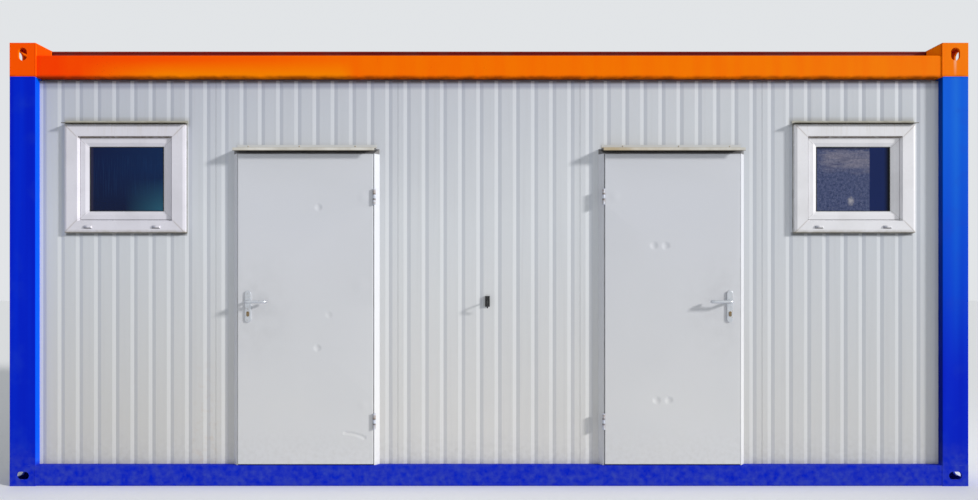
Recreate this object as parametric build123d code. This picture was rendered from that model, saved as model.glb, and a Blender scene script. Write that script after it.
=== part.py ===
from build123d import *

import os

# Toilet container: a 20-foot steel-framed cabin with two doors and two windows.
# X runs along the long front (right is +X), the doors face -Y, Z is up.
# The origin is the centre of the footprint, on the ground. Lengths are in millimetres.

# Overall frame
length = 6058.0
width = 2438.0
height = 2800.0
post_side = 166.0
post_wall = 4.0
post_corner_radius = 5.0

# Corner fittings
roof_corner_height = 216.0
corner_wall = 12.0
corner_edge_radius = 4.0
slot_width = 56.0
slot_height = 82.0
slot_below_top = 71.0
lifting_hole_length = 118.0
lifting_hole_width = 62.0
base_slot_length = 82.0
base_slot_height = 50.0
base_slot_above_ground = 66.0

# Rails
base_rail_height = 131.0
base_rail_wall = 4.0
roof_rail_height = 138.0
roof_rail_wall = 4.0
roof_rail_setback = 3.0
end_rail_top_depth = 186.0
rail_fold_radius = 8.0
rail_inner_lap = 33.0

# Gussets that close the step between a roof corner and the roof edge
gusset_start = 8.0
gusset_end = 49.0
gusset_reach = 66.0
gusset_thickness = 5.0
gusset_below_corner = 3.0

# Walls
wall_recess = 37.0
wall_thickness = 60.0
panel_module = 1160.0
panel_joint_width = 2.0
panel_joint_depth = 4.0
groove_pitch = 116.0
groove_width = 46.0
groove_depth = 2.5
head_joint_height = 13.0
head_joint_depth = 20.0

# Floor and ceiling
floor_board_thickness = 22.0
floor_beam_width = 60.0
floor_beam_wall = 4.0
floor_beam_spacing = 640.0
ceiling_thickness = 18.0
ceiling_joint = 1.0

# Roof
roof_inset = 62.0
roof_corner_gap = 10.0
roof_upstand = 42.0
roof_hem_height = 10.0
roof_hem_out = 6.0
roof_sheet_thickness = 3.0
roof_sheet_drop = 16.0
roof_rib_height = 10.0
roof_rib_foot = 70.0
roof_rib_top = 40.0
roof_rib_spacing = 280.0

# Doors
leaf_width = 853.0
leaf_height = 1959.0
leaf_thickness = 40.0
leaf_edge_radius = 2.0
leaf_above_rail = 8.0
leaf_proud = 35.0
door_gap = 5.0
casing_proud = 28.0
casing_lip = 4.0
casing_reach = 37.0
frame_stop = 20.0
frame_lining = 5.0
sill_height = 20.0
inner_casing_thickness = 8.0

# Door hinges
hinge_out = 10.0
hinge_forward = 5.0
hinge_radius = 9.0
hinge_pin_radius = 5.0
hinge_height = 100.0
hinge_knuckle_gap = 0.5
hinge_edge = 1.0
hinge_fit = 0.1
hinge_lug_thickness = 4.0
hinge_wing_thickness = 3.0
hinge_wing_depth = 35.0
hinge_from_leaf_end = 270.0

# Door furniture
backset = 66.0
lever_above_leaf_bottom = 1027.0
lever_radius = 9.5
lever_reach = 52.0
lever_length = 122.0
lever_return = 26.0
lever_bend = 16.0
lever_face_gap = 0.3
spindle_radius = 6.0
spindle_into_lever = 4.0
spindle_fit = 0.1
plate_width = 38.0
plate_height = 200.0
plate_thickness = 8.0
plate_edge = 2.0
plate_top_above_lever = 69.0
collar_radius = 13.0
collar_proud = 3.0
cylinder_below_lever = 78.0
cylinder_width = 17.0
cylinder_height = 33.0
cylinder_proud = 4.0

# Lock in the edge of the leaf, and its keeps in the frame
forend_width = 24.0
forend_height = 235.0
forend_thickness = 3.0
forend_fit = 0.1
keep_width = 14.0
keep_depth = 6.0
keep_height = 34.0

# Rain caps over the doors
cap_overhang = 17.0
cap_sheet = 2.0
cap_reach = 80.0
cap_lip = 19.0
cap_lip_bottom = 13.0
cap_fall = 12.0
cap_back = 20.0

# Windows
left_window_off_panel_middle = 5.0
right_window_off_panel_middle = 17.5
window_below_rail = 297.0
window_width = 763.0
window_height = 685.0
window_proud = 29.0
window_side_member = 82.0
window_level_member = 73.0
window_bevel_width = 14.0
window_bevel_depth = 5.0
window_inner_slope = 8.0
window_web = 22.0
window_inner_lap = 26.0
window_inner_proud = 10.0
window_stop = 20.0
sash_recess = 18.0
sash_depth = 58.0
sash_gap = 3.0
sash_member = 30.0
bead_slope = 23.0
bead_depth = 10.0
glass_thickness = 20.0
glass_rebate = 10.0

# Drain caps on the lower member of each window frame
drain_left_of_middle = 15.0
drain_spread = 216.0
drain_above_bottom = 35.0
drain_length = 52.0
drain_height = 18.0
drain_proud = 8.0
drain_bevel = 5.0

# Drip caps over the windows
drip_overhang = 8.0
drip_sheet = 2.0
drip_reach = 47.0
drip_lip = 4.0
drip_fall = 4.0
drip_back = 16.0
drip_above_window = 4.0

# Hold-open hook between the doors
hook_x = -10.0
hook_plate_width = 30.0
hook_plate_height = 68.0
hook_plate_depth = 13.0
hook_plate_edge = 2.0
hook_reach = 75.0
hook_radius = 4.0
hook_bend = 9.0
hook_nib_drop = 40.0
hook_nib_back = 30.0

# How far a cutter reaches past the face that it opens
past = 1.0

# Planes and levels that several pieces share
end_face = length / 2
front_face = -width / 2
post_inner_x = end_face - post_side
post_inner_y = width / 2 - post_side
rail_top = base_rail_height
roof_rail_bottom = height - roof_corner_height
roof_rail_top = roof_rail_bottom + roof_rail_height
roof_edge_top = roof_rail_top + roof_upstand
wall_face = front_face + wall_recess
wall_inner = wall_face + wall_thickness
end_wall_inner = end_face - wall_recess - wall_thickness
rail_depth = wall_recess + wall_thickness + rail_inner_lap
floor_top = rail_top + floor_board_thickness
wall_levels = (rail_top, roof_rail_bottom)
first_joint = panel_module / 2
second_joint = panel_module * 3 / 2

# Places on the doors
door_centre = panel_module
leaf_front = wall_face - leaf_proud
leaf_back = leaf_front + leaf_thickness
leaf_middle = (leaf_front + leaf_back) / 2
leaf_bottom = rail_top + leaf_above_rail
leaf_top = leaf_bottom + leaf_height
leaf_edge = door_centre + leaf_width / 2
casing_front = wall_face - casing_proud
stop_face = leaf_back + door_gap
rough_half = leaf_width / 2 + door_gap + frame_lining
rough_top = leaf_top + door_gap + frame_lining
casing_half = leaf_width / 2 + casing_reach
hinge_y = leaf_front - hinge_forward
hinge_levels = (leaf_bottom + hinge_from_leaf_end, leaf_top - hinge_from_leaf_end)
spindle_x = leaf_edge - backset
lever_z = leaf_bottom + lever_above_leaf_bottom
lock_z = lever_z - cylinder_below_lever
plate_z = lever_z + plate_top_above_lever - plate_height / 2

# Places on the windows
window_panel_middle = (second_joint + post_inner_x) / 2
left_window_x = -window_panel_middle - left_window_off_panel_middle
right_window_x = window_panel_middle + right_window_off_panel_middle
window_top = roof_rail_bottom - window_below_rail
window_centre_z = window_top - window_height / 2
window_front = wall_face - window_proud
sash_front = window_front + sash_recess
sash_back = sash_front + sash_depth
glass_front = sash_front + bead_depth


def grown(size, margin):
    """A width and height with the same margin added on every side."""
    return (size[0] + 2 * margin, size[1] + 2 * margin)


# Widths and heights of the window's rings, from the outer frame in to the glass
frame_outer = (window_width, window_height)
frame_hole = (window_width - 2 * window_side_member, window_height - 2 * window_level_member)
web_outer = grown(frame_hole, window_web)
trim_outer = grown(web_outer, window_inner_lap)
stop_hole = grown(frame_hole, -window_stop)
sash_place = grown(frame_hole, -window_inner_slope)
sash_outer = grown(sash_place, -sash_gap)
sash_face_hole = grown(sash_outer, -sash_member)
glass_hole = grown(sash_face_hole, -bead_slope)


def block(x_span, y_span, z_span):
    """A box between two limits on each axis."""
    spans = (x_span, y_span, z_span)
    sizes = [high - low for low, high in spans]
    middles = [(high + low) / 2 for low, high in spans]
    return Pos(*middles) * Box(*sizes)


def around(middle, size):
    """The two limits of a span that is centred on a place."""
    return (middle - size / 2, middle + size / 2)


def between(first, second):
    """The two limits of a span, the lower one first."""
    return (min(first, second), max(first, second))


def turned(piece, degrees):
    """A piece made for the front, turned about the middle of the cabin to another side."""
    return Rot(0, 0, degrees) * piece


def round_bar(place, radius, run):
    """A round bar along Y, centred on a place."""
    return Pos(*place) * Rot(90, 0, 0) * Cylinder(radius, run)


def extrude_up(outline, low, high):
    """A flat outline in XY made into a solid from one level to another."""
    return Pos(0, 0, low) * extrude(outline, high - low)


def extrude_along_x(points_yz, x_span):
    """A closed section drawn in Y and Z, drawn out along X."""
    plane = Plane(origin=(x_span[0], 0, 0), x_dir=(0, 1, 0), z_dir=(1, 0, 0))
    section = plane * make_face(Polyline(*points_yz, close=True))
    return extrude(section, x_span[1] - x_span[0], dir=(1, 0, 0))


def oval_cutter(middle, normal, along, overall, across, depth):
    """An oval slot cutter, centred on a face and reaching the same depth to both sides."""
    plane = Plane(origin=middle, x_dir=along, z_dir=normal)
    return extrude(plane * SlotOverall(overall, across), depth, both=True)


def tapered(front_rect, back_rect):
    """A solid between two upright rectangles, each given as x span, z span and y."""
    faces = []
    for x_span, z_span, y in (front_rect, back_rect):
        middle = (sum(x_span) / 2, y, sum(z_span) / 2)
        plane = Plane(origin=middle, x_dir=(1, 0, 0), z_dir=(0, -1, 0))
        faces.append(plane * Rectangle(x_span[1] - x_span[0], z_span[1] - z_span[0]))
    return loft(faces)


def folds_at(piece, y):
    """The long edges of a rail that lie at one distance from the middle of the cabin."""
    return piece.edges().filter_by(Axis.X).filter_by(lambda edge: abs(edge.center().Y - y) < 0.01)


def post(side_x, side_y):
    """One corner post: a rolled steel tube that stands on its base corner."""
    middle = (side_x * (end_face - post_side / 2), side_y * (width / 2 - post_side / 2))
    outline = RectangleRounded(post_side, post_side, post_corner_radius)
    inner_side = post_side - 2 * post_wall
    outline -= RectangleRounded(inner_side, inner_side, post_corner_radius - post_wall)
    return Pos(middle[0], middle[1], 0) * extrude_up(outline, rail_top, roof_rail_bottom)


def corner_block(low, high):
    """The hollow block of a corner fitting, at the front right corner."""
    x_span = (post_inner_x, end_face)
    y_span = (front_face, front_face + post_side)
    body = block(x_span, y_span, (low, high))
    body = fillet(body.edges().filter_by(Axis.Z), corner_edge_radius)
    cavity = block(
        (x_span[0] + corner_wall, x_span[1] - corner_wall),
        (y_span[0] + corner_wall, y_span[1] - corner_wall),
        (low + corner_wall, high - corner_wall),
    )
    return body - cavity


def roof_corner():
    """A roof corner with an upright slot in each outer face and a lifting hole on top."""
    middle_x = end_face - post_side / 2
    middle_y = front_face + post_side / 2
    slot_z = height - slot_below_top
    reach = corner_wall + past
    along_x, along_y, up = (1, 0, 0), (0, 1, 0), (0, 0, 1)
    body = corner_block(roof_rail_bottom, height)
    body -= oval_cutter((middle_x, front_face, slot_z), along_y, up, slot_height, slot_width, reach)
    body -= oval_cutter((end_face, middle_y, slot_z), along_x, up, slot_height, slot_width, reach)
    hole = (lifting_hole_length, lifting_hole_width)
    body -= oval_cutter((middle_x, middle_y, height), up, along_y, *hole, reach)
    return body


def base_corner():
    """A base corner with a level slot in each outer face and a locking hole below."""
    middle_x = end_face - post_side / 2
    middle_y = front_face + post_side / 2
    slot_z = base_slot_above_ground
    slot = (base_slot_length, base_slot_height)
    reach = corner_wall + past
    along_x, along_y, up = (1, 0, 0), (0, 1, 0), (0, 0, 1)
    body = corner_block(0, rail_top)
    body -= oval_cutter((middle_x, front_face, slot_z), along_y, along_x, *slot, reach)
    body -= oval_cutter((end_face, middle_y, slot_z), along_x, along_y, *slot, reach)
    hole = (lifting_hole_length, lifting_hole_width)
    body -= oval_cutter((middle_x, middle_y, 0), up, along_y, *hole, reach)
    return body


def at_four_corners(piece):
    """The front right piece with its three mirror images."""
    front_left = mirror(piece, about=Plane.YZ)
    return [piece, front_left, mirror(piece, about=Plane.XZ), mirror(front_left, about=Plane.XZ)]


def channel_rail(face, low, rail_height, wall, depth, top_depth, run):
    """A rolled channel with its web outside and both flanges turned into the cabin."""
    high = low + rail_height
    section = [
        (face, low),
        (face + depth, low),
        (face + depth, low + wall),
        (face + wall, low + wall),
        (face + wall, high - wall),
        (face + top_depth, high - wall),
        (face + top_depth, high),
        (face, high),
    ]
    rail = extrude_along_x(section, (-run / 2, run / 2))
    rail = fillet(folds_at(rail, face), rail_fold_radius)
    return fillet(folds_at(rail, face + wall), rail_fold_radius - wall)


def base_rail(face, run):
    return channel_rail(face, 0, base_rail_height, base_rail_wall, rail_depth, rail_depth, run)


def roof_rail(face, top_depth, run):
    web = face + roof_rail_setback
    depths = (rail_depth - roof_rail_setback, top_depth - roof_rail_setback)
    return channel_rail(web, roof_rail_bottom, roof_rail_height, roof_rail_wall, *depths, run)


def roof_gusset():
    """Upright plate on the right end of the front rail, slanting back from the roof corner."""
    near = front_face + gusset_start
    far = front_face + gusset_end
    tip = post_inner_x - gusset_reach
    plan = make_face(
        Polyline(
            (post_inner_x, near),
            (post_inner_x, near + gusset_thickness),
            (tip, far + gusset_thickness),
            (tip, far),
            close=True,
        )
    )
    plate = extrude_up(plan, roof_rail_top - roof_rail_wall, height)
    above = make_face(
        Polyline(
            (post_inner_x + past, height - gusset_below_corner),
            (tip - past, roof_edge_top),
            (tip - past, height + past),
            (post_inner_x + past, height + past),
            close=True,
        )
    )
    return plate - extrude(Plane.XZ * above, width, both=True)


def long_roof_rail():
    """The front roof rail with a gusset at each end."""
    gusset = roof_gusset()
    return roof_rail(front_face, rail_depth, 2 * post_inner_x) + gusset + mirror(gusset, about=Plane.YZ)


def floor_beams():
    """Box-section cross members between the long base rails, the middle one at the origin."""
    half_run = width / 2 - rail_depth
    outer = floor_beam_width
    inner = floor_beam_width - 2 * floor_beam_wall
    to_each_side = int((post_inner_x - floor_beam_width / 2) / floor_beam_spacing)
    beams = []
    for index in range(-to_each_side, to_each_side + 1):
        place = index * floor_beam_spacing
        beam = block(around(place, outer), (-half_run, half_run), (0, rail_top))
        hollow_levels = (floor_beam_wall, rail_top - floor_beam_wall)
        beam -= block(around(place, inner), (-half_run - past, half_run + past), hollow_levels)
        beams.append(beam)
    return beams


def floor_board():
    """Floor board that fills the cabin between the walls and around the posts."""
    plan = Rectangle(2 * end_wall_inner, 2 * post_inner_y) + Rectangle(2 * post_inner_x, -2 * wall_inner)
    return extrude_up(plan, rail_top, floor_top)


def ceiling():
    """Ceiling boards across the cabin, one to each wall panel, and a strip at each end."""
    low = roof_rail_bottom + roof_rail_wall
    levels = (low, low + ceiling_thickness)
    joints = [-post_inner_x, -second_joint, -first_joint, first_joint, second_joint, post_inner_x]
    half_joint = ceiling_joint / 2
    boards = []
    for left, right in zip(joints, joints[1:]):
        boards.append(block((left + half_joint, right - half_joint), (wall_inner, -wall_inner), levels))
    strip = block((post_inner_x + half_joint, end_wall_inner), (-post_inner_y, post_inner_y), levels)
    return boards + [strip, turned(strip, 180)]


def roof_sheet():
    """The roof pan: a hemmed upstand around a sunk sheet with ribs that run from front to back."""
    half_x = post_inner_x - roof_corner_gap
    half_y = width / 2 - roof_inset
    sheet = roof_sheet_thickness
    sheet_top = roof_edge_top - roof_sheet_drop
    inner_plan = Rectangle(2 * (half_x - sheet), 2 * (half_y - sheet))
    hem_plan = Rectangle(2 * (half_x + roof_hem_out), 2 * (half_y + roof_hem_out))
    body = extrude_up(Rectangle(2 * half_x, 2 * half_y), roof_rail_top, roof_edge_top)
    body += extrude_up(hem_plan, roof_edge_top - roof_hem_height, roof_edge_top)
    body -= extrude_up(inner_plan, roof_rail_top - past, sheet_top - sheet)
    body -= extrude_up(inner_plan, sheet_top, roof_edge_top + past)
    rib_end = half_y - sheet
    rib_count = int((2 * half_x - roof_rib_foot) / roof_rib_spacing)
    for index in range(rib_count):
        place = (index - (rib_count - 1) / 2) * roof_rib_spacing
        rib = [
            (place - roof_rib_foot / 2, sheet_top - sheet),
            (place + roof_rib_foot / 2, sheet_top - sheet),
            (place + roof_rib_foot / 2, sheet_top),
            (place + roof_rib_top / 2, sheet_top + roof_rib_height),
            (place - roof_rib_top / 2, sheet_top + roof_rib_height),
            (place - roof_rib_foot / 2, sheet_top),
        ]
        section = Plane.XZ * make_face(Polyline(*rib, close=True))
        body += extrude(section, rib_end, both=True)
    return body


def lined_plan(face, x_span, joints):
    """Plan of a wall panel: shallow V grooves in its face and a thin line at each joint."""
    middle = (sum(x_span) / 2, face + wall_thickness / 2)
    plan = Pos(*middle) * Rectangle(x_span[1] - x_span[0], wall_thickness)
    first = int(x_span[0] // groove_pitch) - 1
    last = int(x_span[1] // groove_pitch) + 1
    for index in range(first, last + 1):
        place = (index + 0.5) * groove_pitch
        if x_span[0] - groove_width / 2 < place < x_span[1] + groove_width / 2:
            groove = Polyline(
                (place - groove_width / 2, face),
                (place, face + groove_depth),
                (place + groove_width / 2, face),
                (place, face - groove_depth),
                close=True,
            )
            plan -= make_face(groove)
    for joint in joints:
        plan -= Pos(joint, face) * Rectangle(panel_joint_width, 2 * panel_joint_depth)
    return plan


def lined_panel(face, x_span, z_span, joints):
    """A lined panel that reaches up to the roof rail, with an open joint under the rail."""
    panel = extrude_up(lined_plan(face, x_span, joints), *z_span)
    joint_x = (x_span[0] - past, x_span[1] + past)
    joint_levels = (z_span[1] - head_joint_height, z_span[1] + past)
    return panel - block(joint_x, (face - past, face + head_joint_depth), joint_levels)


def window_panel(side):
    """The end panel of the front wall, with its window cut through."""
    x_span = between(side * second_joint, side * post_inner_x)
    panel = lined_panel(wall_face, x_span, wall_levels, [side * second_joint])
    return panel - window_block(side, web_outer, (wall_face - past, wall_inner + past))


def door_panel_pieces(side):
    """The panel around a doorway, in three pieces: outer strip, inner strip and head."""
    far_side, near_side = side * (door_centre + rough_half), side * (door_centre - rough_half)
    outer = between(side * second_joint, far_side)
    inner = between(side * first_joint, near_side)
    return (
        lined_panel(wall_face, outer, wall_levels, [side * second_joint]),
        lined_panel(wall_face, inner, wall_levels, [side * first_joint]),
        lined_panel(wall_face, between(far_side, near_side), (rough_top, roof_rail_bottom), []),
    )


def middle_panel():
    return lined_panel(wall_face, (-first_joint, first_joint), wall_levels, [-first_joint, first_joint])


def rear_wall():
    joints = [-second_joint, -first_joint, first_joint, second_joint]
    return turned(lined_panel(wall_face, (-post_inner_x, post_inner_x), wall_levels, joints), 180)


def end_wall():
    """The left end wall, made as a front wall of the cabin's own width and then turned."""
    face = -end_face + wall_recess
    return turned(lined_panel(face, (-post_inner_y, post_inner_y), wall_levels, [0]), -90)


def door_frame(side):
    """Door frame: bevelled casing outside, lining through the wall, stop, sill and casing inside."""
    centre = side * door_centre
    inner_face = wall_inner + inner_casing_thickness
    full_width = around(centre, 2 * casing_half)
    casing_top = leaf_top + casing_reach
    lip = door_gap + casing_lip
    casing = tapered(
        (around(centre, leaf_width + 2 * lip), (rail_top, leaf_top + lip), casing_front),
        (full_width, (rail_top, casing_top), wall_face),
    )
    lining = block(around(centre, 2 * rough_half), (wall_face, wall_inner), (rail_top, rough_top))
    inner_casing = block(full_width, (wall_inner, inner_face), (floor_top, casing_top))
    pocket_x = around(centre, leaf_width + 2 * door_gap)
    pocket = block(pocket_x, (casing_front - past, stop_face), (rail_top - past, leaf_top + door_gap))
    clear_way = block(
        around(centre, leaf_width - 2 * frame_stop),
        (casing_front - past, inner_face + past),
        (rail_top + sill_height, leaf_top - frame_stop),
    )
    frame = casing + lining + inner_casing - pocket - clear_way
    keep_x = between(side * leaf_edge, side * (leaf_edge + door_gap + keep_depth))
    for keep_z in (lever_z, lock_z):
        frame -= block(keep_x, around(leaf_middle, keep_width), around(keep_z, keep_height))
    return frame


def forend(side, margin):
    """The plate of the lock in the edge of the leaf, or with a margin the recess for it."""
    middle = (side * leaf_edge, leaf_middle, (lever_z + lock_z) / 2)
    plane = Plane(origin=middle, x_dir=(0, 0, 1), z_dir=(-side, 0, 0))
    outline = SlotOverall(forend_height + 2 * margin, forend_width + 2 * margin)
    return extrude(plane * outline, forend_thickness)


def door_leaf(side):
    """Flush steel leaf, bored for the lever's spindle and let in for the lock."""
    centre = side * door_centre
    leaf = block(around(centre, leaf_width), (leaf_front, leaf_back), (leaf_bottom, leaf_top))
    leaf = fillet(leaf.edges().filter_by(Axis.Z), leaf_edge_radius)
    bore_radius = spindle_radius + spindle_fit
    leaf -= round_bar((side * spindle_x, leaf_middle, lever_z), bore_radius, leaf_thickness + past)
    return leaf - forend(side, forend_fit)


def hinge_knuckle(low, high, radius):
    return Pos(0, 0, (low + high) / 2) * Cylinder(radius, high - low)


def hinge_place(side, z):
    """Places a hinge drawn about its own pin, with the leaf on its -X side."""
    pin_x = side * (door_centre - leaf_width / 2 - hinge_out)
    return Pos(pin_x, hinge_y, z)


def hinge_fixed_half(side, z):
    """Frame half: two outer knuckles on one pin, and a lug to the casing."""
    inner_end = hinge_height / 6 + hinge_knuckle_gap
    outer_end = hinge_height / 2
    half = hinge_knuckle(-outer_end, outer_end, hinge_pin_radius)
    lug_right = door_gap + casing_lip - hinge_out
    lug_x = (lug_right - hinge_lug_thickness, lug_right)
    lug_y = (0, casing_front - hinge_y)
    for low, high, end in ((-outer_end, -inner_end, -outer_end), (inner_end, outer_end, outer_end)):
        knuckle = hinge_knuckle(low, high, hinge_radius)
        rim = knuckle.edges().filter_by(lambda edge: abs(edge.center().Z - end) < 0.01)
        half += chamfer(rim, hinge_edge) + block(lug_x, lug_y, (low, high))
    if side > 0:
        half = mirror(half, about=Plane.YZ)
    return hinge_place(side, z) * half


def hinge_moving_half(side, z):
    """Leaf half: the middle knuckle and its wing, which lies on the edge of the leaf."""
    reach = hinge_height / 6
    wing_x = (-hinge_out, -hinge_out + hinge_wing_thickness)
    half = hinge_knuckle(-reach, reach, hinge_radius)
    half += block(wing_x, (0, hinge_wing_depth), (-reach, reach))
    half -= hinge_knuckle(-reach - past, reach + past, hinge_pin_radius + hinge_fit)
    if side > 0:
        half = mirror(half, about=Plane.YZ)
    return hinge_place(side, z) * half


def lock_plate(side, face, out):
    """Backplate with a collar for the lever and the end of the lock cylinder."""
    x = side * spindle_x
    plate_plane = Plane(origin=(x, face, plate_z), x_dir=(0, 0, 1), z_dir=(0, out, 0))
    lock_plane = Plane(origin=(x, face, lock_z), x_dir=(0, 0, 1), z_dir=(0, out, 0))
    plate = extrude(plate_plane * SlotOverall(plate_height, plate_width), plate_thickness)
    outer_face = plate.faces().sort_by(Axis.Y)[0 if out < 0 else -1]
    plate = fillet(outer_face.edges(), plate_edge)
    cylinder_end = SlotOverall(cylinder_height, cylinder_width)
    plate += extrude(lock_plane * cylinder_end, plate_thickness + cylinder_proud)
    full_depth = plate_thickness + collar_proud
    plate += round_bar((x, face + out * full_depth / 2, lever_z), collar_radius, full_depth)
    return plate - round_bar((x, face, lever_z), lever_radius + spindle_fit, 2 * full_depth + past)


def lock_plates(side):
    """A backplate on each face of the leaf, and the plate of the lock in its edge."""
    return [lock_plate(side, leaf_front, -1), lock_plate(side, leaf_back, 1), forend(side, 0)]


def lever_arm(side, face, out):
    """One lever handle: a round bar out from the leaf, along it, and back at the end."""
    x = side * spindle_x
    tip_x = x - side * lever_length
    start = (x, face + out * lever_face_gap, lever_z)
    far = face + out * lever_reach
    corners = [start, (x, far, lever_z), (tip_x, far, lever_z), (tip_x, far - out * lever_return, lever_z)]
    path = FilletPolyline(*corners, radius=lever_bend)
    section = Plane(origin=start, z_dir=(0, out, 0)) * Circle(lever_radius)
    return sweep(section, path=path)


def levers(side):
    """Outer and inner lever on one spindle."""
    run = leaf_thickness + 2 * (lever_face_gap + spindle_into_lever)
    spindle = round_bar((side * spindle_x, leaf_middle, lever_z), spindle_radius, run)
    return lever_arm(side, leaf_front, -1) + spindle + lever_arm(side, leaf_back, 1)


def folded_cap(centre, cap_size, sheet, reach, lip, lip_bottom, fall, back):
    """A folded sheet cap: flange on the wall, a falling top and a lip turned down in front."""
    front = wall_face - reach
    top_front = lip_bottom + lip
    top_back = top_front + fall
    section = [
        (wall_face, top_back + back),
        (wall_face - sheet, top_back + back),
        (wall_face - sheet, top_back),
        (front, top_front),
        (front, lip_bottom),
        (front + sheet, lip_bottom),
        (front + sheet, top_front - sheet),
        (wall_face, top_back - sheet),
    ]
    return extrude_along_x(section, around(centre, cap_size))


def door_cap(side):
    size = leaf_width + 2 * cap_overhang
    lip_bottom = leaf_top + cap_lip_bottom
    return folded_cap(
        side * door_centre, size, cap_sheet, cap_reach, cap_lip, lip_bottom, cap_fall, cap_back
    )


def window_middle(side):
    return right_window_x if side > 0 else left_window_x


def window_rect(side, size, y):
    """An upright rectangle centred on a window."""
    return (around(window_middle(side), size[0]), around(window_centre_z, size[1]), y)


def window_block(side, size, y_span):
    """A block centred on a window."""
    x_span, z_span, front = window_rect(side, size, y_span[0])
    return block(x_span, (front, y_span[1]), z_span)


def drip_cap(side):
    size = window_width + 2 * drip_overhang
    lip_bottom = window_top + drip_above_window
    return folded_cap(
        window_middle(side), size, drip_sheet, drip_reach, drip_lip, lip_bottom, drip_fall, drip_back
    )


def drain_cap(x):
    """A small bevelled cap over a drain slot in the lower member of a window frame."""
    middle_z = window_top - window_height + drain_above_bottom
    depth = (window_front - drain_proud, window_front)
    cap = block(around(x, drain_length), depth, around(middle_z, drain_height))
    return chamfer(cap.faces().sort_by(Axis.Y)[0].edges(), drain_bevel)


def window_frame(side):
    """Outer window frame: bevelled members outside, a web through the wall and a stop inside."""
    bevel_back = window_front + window_bevel_depth
    inner_face = wall_inner + window_inner_proud
    face_outer = grown(frame_outer, -window_bevel_width)
    frame = tapered(window_rect(side, face_outer, window_front), window_rect(side, frame_outer, bevel_back))
    frame += window_block(side, frame_outer, (bevel_back, wall_face))
    frame += window_block(side, web_outer, (wall_face, wall_inner))
    frame += window_block(side, trim_outer, (wall_inner, inner_face))
    frame -= tapered(window_rect(side, frame_hole, window_front), window_rect(side, sash_place, sash_front))
    frame -= window_block(side, sash_place, (sash_front, sash_back))
    frame -= window_block(side, stop_hole, (sash_back, inner_face + past))
    drains_middle = window_middle(side) - drain_left_of_middle
    for offset in (-drain_spread, drain_spread):
        frame += drain_cap(drains_middle + offset)
    return frame


def window_sash(side):
    """The sash: sloping glazing bead in front, a rebate for the pane, and an inner bead."""
    sash = window_block(side, sash_outer, (sash_front, sash_back))
    sash -= tapered(window_rect(side, sash_face_hole, sash_front), window_rect(side, glass_hole, glass_front))
    sash -= window_block(side, glass_hole, (sash_front, sash_back + past))
    return sash - window_pane(side)


def window_pane(side):
    """The sealed double pane."""
    return window_block(side, grown(glass_hole, glass_rebate), (glass_front, glass_front + glass_thickness))


def hold_open_hook():
    """Block on the middle panel with a round bar that ends in a nib bent down and back."""
    block_front = wall_face - hook_plate_depth
    plate_x = around(hook_x, hook_plate_width)
    plate = block(plate_x, (block_front, wall_face), around(lever_z, hook_plate_height))
    plate = chamfer(plate.faces().sort_by(Axis.Y)[0].edges(), hook_plate_edge)
    start = (hook_x, block_front + hook_radius, lever_z)
    tip_y = wall_face - hook_reach
    nib_end = (hook_x, tip_y + hook_nib_back, lever_z - hook_nib_drop)
    path = FilletPolyline(start, (hook_x, tip_y, lever_z), nib_end, radius=hook_bend)
    section = Plane(origin=start, z_dir=(0, -1, 0)) * Circle(hook_radius)
    return plate + sweep(section, path=path)


def solids_of(pieces):
    """Every separate solid of a piece or of a list of pieces."""
    if isinstance(pieces, (list, tuple)):
        found = []
        for piece in pieces:
            found += solids_of(piece)
        return found
    return list(pieces.solids())


def write_node(name, pieces):
    """One node, with like pieces in it as solids that don't touch."""
    solids = solids_of(pieces)
    shape = solids[0] if len(solids) == 1 else Compound(children=solids)
    export_step(shape, f"parts/{name}.step")
    print(name, len(solids), "solids", round(sum(solid.volume for solid in solids) / 1e6, 2), "litres")


def frame_nodes():
    long_run = 2 * post_inner_x
    short_run = 2 * post_inner_y
    front_roof_rail = long_roof_rail()
    end_base_rail = base_rail(-end_face, short_run)
    end_roof_rail = roof_rail(-end_face, end_rail_top_depth, short_run)
    write_node("base_rail_front", base_rail(front_face, long_run))
    write_node("base_rail_rear", turned(base_rail(front_face, long_run), 180))
    write_node("base_rails_ends", [turned(end_base_rail, angle) for angle in (-90, 90)])
    write_node("base_corners", at_four_corners(base_corner()))
    write_node("posts_front", [post(-1, -1), post(1, -1)])
    write_node("posts_rear", [post(-1, 1), post(1, 1)])
    write_node("roof_rail_front", front_roof_rail)
    write_node("roof_rail_rear", turned(front_roof_rail, 180))
    write_node("roof_rails_ends", [turned(end_roof_rail, angle) for angle in (-90, 90)])
    write_node("roof_corners", at_four_corners(roof_corner()))
    write_node("roof_sheet", roof_sheet())
    write_node("ceiling", ceiling())
    write_node("floor_beams", floor_beams())
    write_node("floor_board", floor_board())


def wall_nodes():
    for name, side in (("left", -1), ("right", 1)):
        write_node(f"front_window_panel_{name}", window_panel(side))
        outer, inner, head = door_panel_pieces(side)
        write_node(f"front_door_panel_{name}_outer", outer)
        write_node(f"front_door_panel_{name}_inner", inner)
        write_node(f"front_door_panel_{name}_head", head)
    write_node("front_middle_panel", middle_panel())
    write_node("rear_wall", rear_wall())
    left_wall = end_wall()
    write_node("left_wall", left_wall)
    write_node("right_wall", turned(left_wall, 180))


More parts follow.
